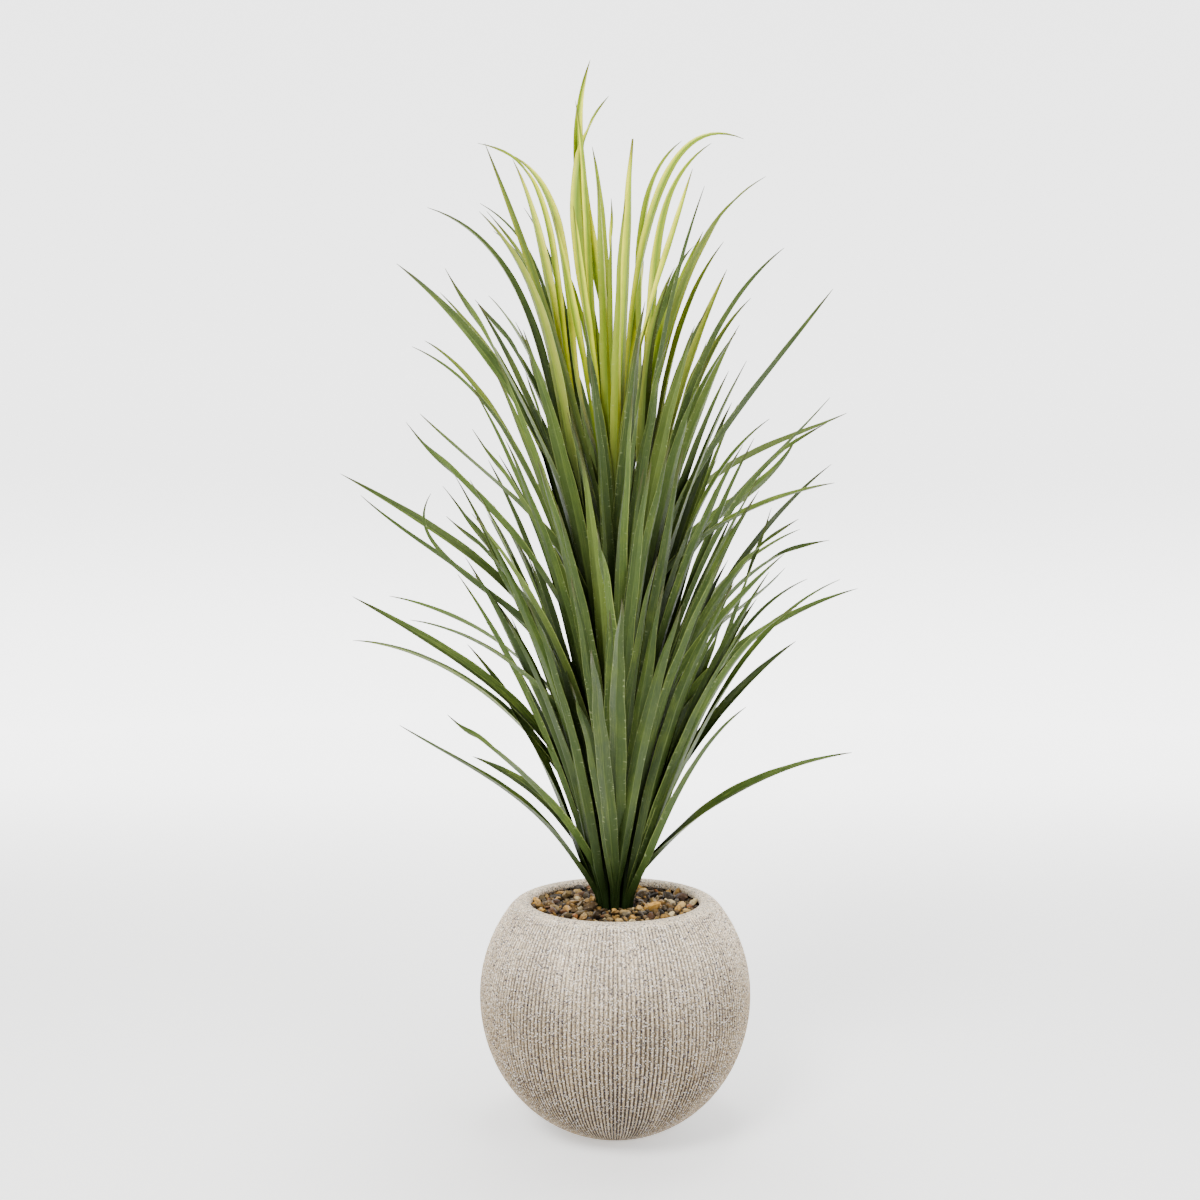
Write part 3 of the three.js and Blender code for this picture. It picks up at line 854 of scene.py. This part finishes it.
def bladeLines(rows, steady, draw, stem, s):
    # middle lines of all blades of a stem: a short sheath up the stem, then a cubic curve in an upright
    # plane. Near the root it keeps to the stem's skin, and it sways sideways by a drift, a slow wave and a
    # ripple. The first steady blades sway little, as they draw the outline
    heading, _, rootHeight, rootLean, reach, tipHeight, tipLean = rows.T
    count = len(rows)
    place = stemPlace(stem, s)
    t = np.linspace(0, 1, s["rows"]) ** 0.93
    span = np.hypot(reach - s["rootDepth"], tipHeight - rootHeight)
    a, b = np.radians(rootLean), np.radians(tipLean)
    root = np.stack([np.full(count, s["rootDepth"]), rootHeight], -1)
    tip = np.stack([reach, tipHeight], -1)
    first = root + s["rootHandle"] * span[:, None] * np.stack([np.sin(a), np.cos(a)], -1)
    second = tip - s["tipHandle"] * span[:, None] * np.stack([np.sin(b), np.cos(b)], -1)
    w = [(1 - t) ** 3, 3 * t * (1 - t) ** 2, 3 * t * t * (1 - t), t ** 3]
    line = sum(f[:, None] * p[:, None] for f, p in zip(w, (root, first, second, tip)))
    sheath = np.linspace(-s["sheath"], 0, s["sheathRows"], endpoint=False)
    down = rootHeight[:, None] + sheath
    line = np.concatenate([np.stack([np.full(down.shape, s["rootDepth"]), down], -1), line], 1)
    share = np.concatenate([np.zeros(s["sheathRows"]), t])
    skin = stemRadiusAt(line[..., 1], stem, s) + 0.7
    outwards = np.abs(line[..., 0])
    hug = 0.5 * (outwards + skin + np.sqrt((outwards - skin) ** 2 + 4.0))
    free = (rootLean < 0) | (reach < 15)
    hug = np.where(free[:, None], line[..., 0], hug)
    out = line[..., 0] + (hug - line[..., 0]) * smoothStep(0.35, 0.0, share)
    drift, wave, ripple = s["sway"]
    sway = drift * (draw(21) - 0.5) * share ** 2
    sway += wave * (draw(22) - 0.5) * np.sin(share * 7 + 6 * draw(23))
    quick = 15 + 12 * draw(34)
    sway += ripple * share * np.sin(share * quick + 6 * draw(35))
    sway *= np.where(np.arange(count) < steady, s["steadySway"], 1.0)[:, None]
    turn = np.radians(heading)[:, None]
    x = place[0] + out * np.cos(turn) - sway * np.sin(turn)
    y = place[1] + out * np.sin(turn) + sway * np.cos(turn)
    return np.stack([x, y, line[..., 1]], -1), share, span


def bladeFrames(middle, heading, share, blunt, draw, stem, s):
    # the directions across and out of each blade along its middle line: level and upright at first, then
    # turned by a twist that grows with the share of the length, wavers a little and may curl at the tip
    turn = np.radians(heading)
    tangent = np.gradient(middle, axis=1)
    tangent /= np.linalg.norm(tangent, axis=2, keepdims=True)
    flat = 0 * middle[..., 0]
    across = np.stack([flat - np.sin(turn), flat + np.cos(turn), flat], -1)
    across -= tangent * np.sum(across * tangent, axis=2, keepdims=True)
    across /= np.linalg.norm(across, axis=2, keepdims=True)
    up = np.cross(tangent, across)
    side = np.where(draw(24) > 0.5, 1, -1)
    least, more = s["innerSwing" if stem < 0 else "outerSwing"]
    twist = np.radians(side * (least + more * draw(29))) * smoothStep(0.0, 0.75, share)
    waver = np.sin(share * 9 + 6 * draw(36))
    twist += np.radians(6) * waver * smoothStep(0.1, 0.4, share)
    rare, curl = s["curl"]
    twist += np.radians(np.where(draw(37) > rare, curl, 0)) * smoothStep(0.72, 1.0, share)
    twist += np.radians(10 * (draw(25) - 0.5)) * smoothStep(0.05, 0.3, share)
    twist = np.where(blunt, 0.1, 1) * twist
    c, n = np.cos(twist)[..., None], np.sin(twist)[..., None]
    return across * c + up * n, up * c - across * n


def bladeShapes(rows, steady, stem, s):
    # all blades of a stem at once. Section: a folded strip of the half width, which swells from the root
    # and tapers by a power of the share of the length, its edges raised on the upper side by the fold.
    # Returns points (blade, row, ring, axis) and the values that the colours follow
    rows = np.array(rows, float)
    count = len(rows)
    draw = bladeDraws(count, stem)
    middle, share, span = bladeLines(rows, steady, draw, stem, s)
    heading, width, rootHeight, _, _, _, tipLean = (column[:, None] for column in rows.T)
    blunt = (np.arange(count) == (s["bluntBlade"] if stem < 0 else -1))[:, None]
    across, up = bladeFrames(middle, heading, share, blunt, draw, stem, s)
    rise = 0.74 + 0.26 * np.sin(np.pi / 2 * np.minimum(1, share / 0.35))
    rise = np.where(rootHeight < 300, 0.5 + 0.5 * rise, rise)
    power = 1.5 + 0.6 * draw(38) + 0.4 * (rootHeight > 550)
    if stem < 0:
        power = np.where(tipLean > 45, 2.0, 3.0)
    late = np.clip((share - s["taperStart"]) / (1 - s["taperStart"]), 0, 1)
    taper = 1 - np.where(blunt, 0.8, 1.0) * late ** power
    half = 0.5 * width * rise * taper + 0.3 + 0.45 * smoothStep(1.0, 0.94, share)
    half = half * (1 + 0.03 * np.sin(share * 40 + 6 * draw(26)))
    deep = 0.45 + 0.4 * draw(27)
    fold = deep + 0.75 * smoothStep(0.22, 0.0, share) + 0.35 * smoothStep(0.7, 1.0, share)
    halfFlat = (half / np.sqrt(1 + fold ** 2))[..., None]
    v = np.array(s["section"])
    raised = np.sqrt(v ** 2 + 0.002) - np.sqrt(0.002)
    raised = raised - 0.10 * smoothStep(0.7, 1.0, np.abs(v))
    thin = np.interp(share, [0, 0.3, 1], [1.5, 1.0, 0.55])
    thick = s["thickness"] * (1 - 0.55 * np.abs(v) ** 1.5) * thin[:, None]
    lift = halfFlat * fold[..., None] * raised
    middle, across, up = (part[:, :, None] for part in (middle, across, up))
    body = middle + across * (halfFlat * v)[..., None]
    upper = body + up * (lift + 0.5 * thick)[..., None]
    under = body + up * (lift - 0.5 * thick)[..., None]
    ring = np.concatenate([upper, under[:, :, ::-1]], axis=2)
    tone = draw(28) * np.where(rootHeight < 330, 0.6, 1.0)
    looks = {
        "along": share[:, None],
        "across": np.concatenate([v, v[::-1]]),
        "under": np.concatenate([0 * v, 0 * v + 1]),
        "tone": tone[:, None],
        "young": youth(rootHeight, draw, stem, s)[:, None],
        "run": (span[:, None] * share)[..., None] * mm,
        "open": openness(ring, s),
    }
    return ring * mm, {key: np.broadcast_to(value, ring.shape[:3]) for key, value in looks.items()}


def bladeDraws(count, stem):
    # each blade's draw for a property, as a column
    keys = np.arange(count)[:, None] + 1000 * (stem + 2)
    return lambda j: chance(keys, j)


def openness(points, s):
    # how near a point is to the outside of the tuft, whose radius grows, stays and shrinks with height
    height = points[..., 2]
    envelope = np.interp(height, *s["tuft"])
    depth = np.hypot(points[..., 0], points[..., 1]) / envelope
    lowDown = smoothStep(760, 520, height)
    return smoothStep(0.10 + 0.12 * lowDown, 0.60 + 0.22 * lowDown, depth)


def youth(rootHeight, draw, stem, s):
    # how yellow-green a blade may turn towards its top: the inner ones nearly all, the outer ones if they
    # stand high and chance has it
    if stem < 0:
        green = np.isin(np.arange(len(rootHeight)), s["greenBlades"])[:, None]
        return (0.85 + 0.30 * draw(31)) * np.where(green, 0.25, 1.0)
    return (0.25 + 0.3 * draw(31)) * smoothStep(530, 640, rootHeight) * (draw(32) > 0.55)


def stemPlace(stem, s):
    # the inner stem stands on the axis, the others on a ring
    if stem < 0:
        return (0.0, 0.0)
    angle = stem * 2 * np.pi / s["stems"]
    return (s["ring"] * np.cos(angle), s["ring"] * np.sin(angle))


def stemRadiusAt(height, stem, s):
    # radius that runs straight from the foot's to the tip's
    low = s["innerRadius"] if stem < 0 else s["stemRadius"]
    climb = np.clip((height - s["stemFoot"]) / (s["stemTops"][stem] - s["stemFoot"]), 0, 1)
    return low + (s["stemTipRadius"] - low) * climb


def stemShape(stem, s):
    # the stem itself: a tapering tube of old sheaths, ridged round and stepped up its length
    dome = 8
    shoulder = s["stemTops"][stem] + 6 - dome
    domed = shoulder + dome * np.sin(np.linspace(0.2, 1.5, 7))
    height = np.concatenate([np.linspace(s["stemFoot"], shoulder, 70), domed])
    h, t = np.meshgrid(height, wholeTurn(20), indexing="ij")
    radius = stemRadiusAt(h, stem, s) - 0.25 + 1.3 * smoothStep(420, 300, h)
    radius = radius * (1 + 0.05 * np.sin(5 * t + h * 0.02) - 0.05 * ((h * 0.045) % 1))
    closing = np.sqrt(np.clip((shoulder + dome + 0.5 - h) / dome, 0.02, 1))
    radius = radius * np.where(h > shoulder, closing, 1)
    points = around(radius, t, h) + [*stemPlace(stem, s), 0]
    looks = {
        "along": np.full(h.shape, 0.02),
        "across": 0.4 * np.sin(t * 3),
        "under": 0 * h + 1,
        "tone": np.full(h.shape, 0.3),
        "young": 0 * h + (0.5 if stem < 0 else 0.0),
        "run": h * mm,
        "open": openness(points, s),
    }
    return points * mm, looks


def ringFaces(rows, ring, first):
    # a closed tube from a grid of rings, with a fan at each end to a middle point
    quads = ringQuads(rows, ring)
    middle = rows * ring
    fans = [fan(middle, 0, ring, True), fan(middle + 1, middle - ring, ring)]
    return quads + first, np.concatenate(fans) + first


def drawnIn(points, s):
    # squeezes the tuft towards the planter's axis at the gravel: 1 less a bell curve of the height
    bell = np.exp(-((points[..., 2] / mm - s["waistHeight"]) / s["waistReach"]) ** 2)
    result = points.copy()
    result[..., :2] *= (1 - s["waist"] * bell)[..., None]
    return result


def makeStem(stem, s, material):
    # one mesh of a stem's blades and the stem itself, drawn in at the gravel and held inside the frame's box
    outline = outlineRows(stem, s)
    if stem < 0:
        rows = [*outline, *innerRows(s)]
    else:
        rows = [*outline, *fillRows(stem, s["bladesPerStem"] - len(outline), s), *collarRows(stem, s)]
    blades, looks = bladeShapes(rows, len(outline), stem, s)
    tube, tubeLooks = stemShape(stem, s)
    points, quads, triangles = [], [], []
    values = {key: [] for key in looks}
    first = 0
    pieces = [(blade, {key: looks[key][k] for key in looks}, True) for k, blade in enumerate(blades)]
    for grid, look, flip in pieces + [(tube, tubeLooks, False)]:
        count, ring = grid.shape[:2]
        ends = np.stack([grid[0].mean(0), grid[-1].mean(0)])
        points.append(np.clip(drawnIn(np.concatenate([grid.reshape(-1, 3), ends]), s), *cadBox))
        for faces, part in zip((quads, triangles), ringFaces(count, ring, first)):
            faces.append(part[:, ::-1] if flip else part)
        for key in values:
            closing = [look[key][0].mean(), look[key][-1].mean()]
            values[key].append(np.concatenate([look[key].ravel(), closing]))
        first += count * ring + 2
    name = "new_growth" if stem < 0 else f"leafy_stem_{stem + 1}_blades"
    obj = meshPiece(name, np.concatenate(points), np.concatenate(quads), np.concatenate(triangles),
                    {key: np.concatenate(parts) for key, parts in values.items()}, material)
    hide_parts("new_growth_stem" if stem < 0 else f"leafy_stem_{stem + 1}")
    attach(obj, "root")
    return len(rows)


def spaceOf(*parts):
    # a vector whose axes are values times their scales
    joined = newNode("CombineXYZ", parts[0][0])
    for socket, (value, scale) in zip(joined.inputs, parts):
        feed(socket, times(value, scale))
    return joined.outputs[0]


def grassBlade(name, s):
    # blade colour: painted shade at the foot, deep in the tuft and in nooks, dull green in the middle,
    # yellow-green youth high up with paler sides, painted shade on one half of the fold, fine lengthwise
    # veins, blotches, pale edges and midrib, small cross ticks and a dry tip. The youth glows a little by
    # painted light, an emission that stands in for light coming through it
    material, shader, place = startMaterial(name)
    material.cycles.emission_sampling = "NONE"
    height = axes(place)[2]
    names = ("along", "across", "under", "tone", "young", "run", "open")
    along, across, under, tone, young, run, openShare = (addAttribute(material, key) for key in names)
    reach = addMath("ABSOLUTE", across)
    high = addRange(height, 0.71, 0.96)
    freshness = addMath("MULTIPLY", young, high, clamp=True)

    def byAge(mature, fresh):
        # a number that goes from a mature blade's to a fresh one's
        return addRange(freshness, 0.0, 1.0, mature, fresh)

    middle = addRamp(tone, s["freshMiddle"])
    fresh = addMix(addRange(reach, 0.10, 0.75), middle, addRamp(tone, s["freshSide"]))
    colour = addMix(freshness, addRamp(tone, s["mature"]), fresh)
    blotch = addNoise(place, 24, 3)
    colour = stain(colour, blotch, 0.45, 0.75, 0.3, s["blotches"][0])
    colour = stain(colour, blotch, 0.5, 0.25, 0.3, s["blotches"][1])
    veins = addNoise(spaceOf((across, 7.0), (run, 14.0), (tone, 91.0)), 2.2, 4, 0.7)
    colour = stain(colour, veins, 0.5, 0.68, 0.35, s["paleVein"])
    colour = stain(colour, veins, 0.5, 0.33, 0.5, addMix(freshness, *s["darkVein"]))
    edge = times(addRange(reach, 0.88, 0.98), addRange(tone, 0.1, 0.9, 0.3, 0.75))
    colour = addMix(edge, colour, s["edge"])
    # painted shade: one half of the fold is darker than the other, as if turned away from the light
    half = addRange(across, -0.06, 0.06)
    flip = addRange(tone, 0.49, 0.51)
    paintedHalfShade = addMath("ABSOLUTE", addMath("SUBTRACT", half, flip))
    paintedHalfShade = times(paintedHalfShade, byAge(0.45, 0.75))
    colour = addMix(paintedHalfShade, colour, addMix(freshness, *s["shadedHalfColour"]))
    colour = stain(colour, reach, 0.07, 0.02, 0.25, s["midrib"])
    back = addMix(addRange(tone, 0.80, 0.95), *s["back"])
    colour = addMix(times(under, byAge(0.35, 0.22)), colour, back)
    ticks = addNoise(spaceOf((run, 460.0), (across, 1.6), (tone, 57.0)), 1.0, 0)
    tick = times(addRange(ticks, 0.70, 0.77), addRange(reach, 0.4, 0.95, 0.02, 0.22))
    colour = addMix(tick, colour, s["tick"])
    # painted shade at the foot of the blades and the stems, low in the tuft
    low = addRange(height, 0.60, 0.27, 0.7, 1.0)
    foot = times(addRange(along, 0.30, 0.0, 0.0, 0.86), low)
    colour = addMix(foot, colour, s["foot"])
    # painted shade deep inside the tuft, where the blades lie far from its outside
    deep = addRange(openShare, 0.0, 1.0, 0.85, 0.0, smooth=False)
    deep = times(deep, addRange(height, 0.88, 0.62))
    colour = addMix(deep, colour, s["tuftShade"])
    # painted shade in the nooks between the blades; the gloss is dimmed there too
    hidden = times(addNookShade(material, 0.045, 0.68, 0.15, 0.95), byAge(1.0, 0.6))
    colour = addMix(hidden, colour, s["nookShade"])
    colour = stain(colour, along, 0.88, 1.0, 0.85, s["dryTip"])
    shown = times(addMath("SUBTRACT", 1.0, hidden), addMath("SUBTRACT", 1.0, deep))
    feedAll(shader, {
        "Base Color": colour,
        "Specular IOR Level": times(shown, 0.18),
        "Roughness": addRange(blotch, 0.3, 0.7, 0.36, 0.52),
        # painted light: the fresh blades glow in their own colour high up, standing in for light that comes
        # through them
        "Emission Color": colour,
        "Emission Strength": times(freshness, addRange(height, 1.10, 1.26, 0.22, 0.60)),
    })
    relief = addBump(veins, 0.35, 0.0006, shader)
    glow = newNode("BsdfTranslucent", relief)
    feedAll(glow, {"Color": addMix(0.5, colour, s["throughLight"]), "Normal": relief})
    blend = newNode("MixShader", relief)
    for socket, value in zip(blend.inputs, (0.06, shader.outputs[0], glow.outputs[0])):
        feed(socket, value)
    feed(material.node_tree.nodes["Material Output"].inputs["Surface"], blend.outputs[0])
    return material


leafMaterial = grassBlade("grassBlade", grassLook)
youngMaterial = grassBlade("freshBlade", grassLook)
bladeCount = makeStem(-1, grassLook, youngMaterial)
for stem in range(grassLook["stems"]):
    bladeCount += makeStem(stem, grassLook, leafMaterial)
print("grass:", bladeCount, "blades")


# planting mix

def plantingMix():
    # dark crumbly mix, hidden under the gravel
    material, shader, place = startMaterial("plantingMix")
    crumbs = addNoise(place, 190, 5, 0.7)
    colour = addRamp(crumbs, [(0.3, "1f1610"), (0.5, "3b2c20"), (0.72, "5b4532")])
    feedAll(shader, {"Base Color": colour, "Roughness": 0.95})
    addBump(crumbs, 0.7, 0.002, shader)
    return material


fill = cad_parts["planting_fill"]
fill.data.materials.clear()
fill.data.materials.append(plantingMix())
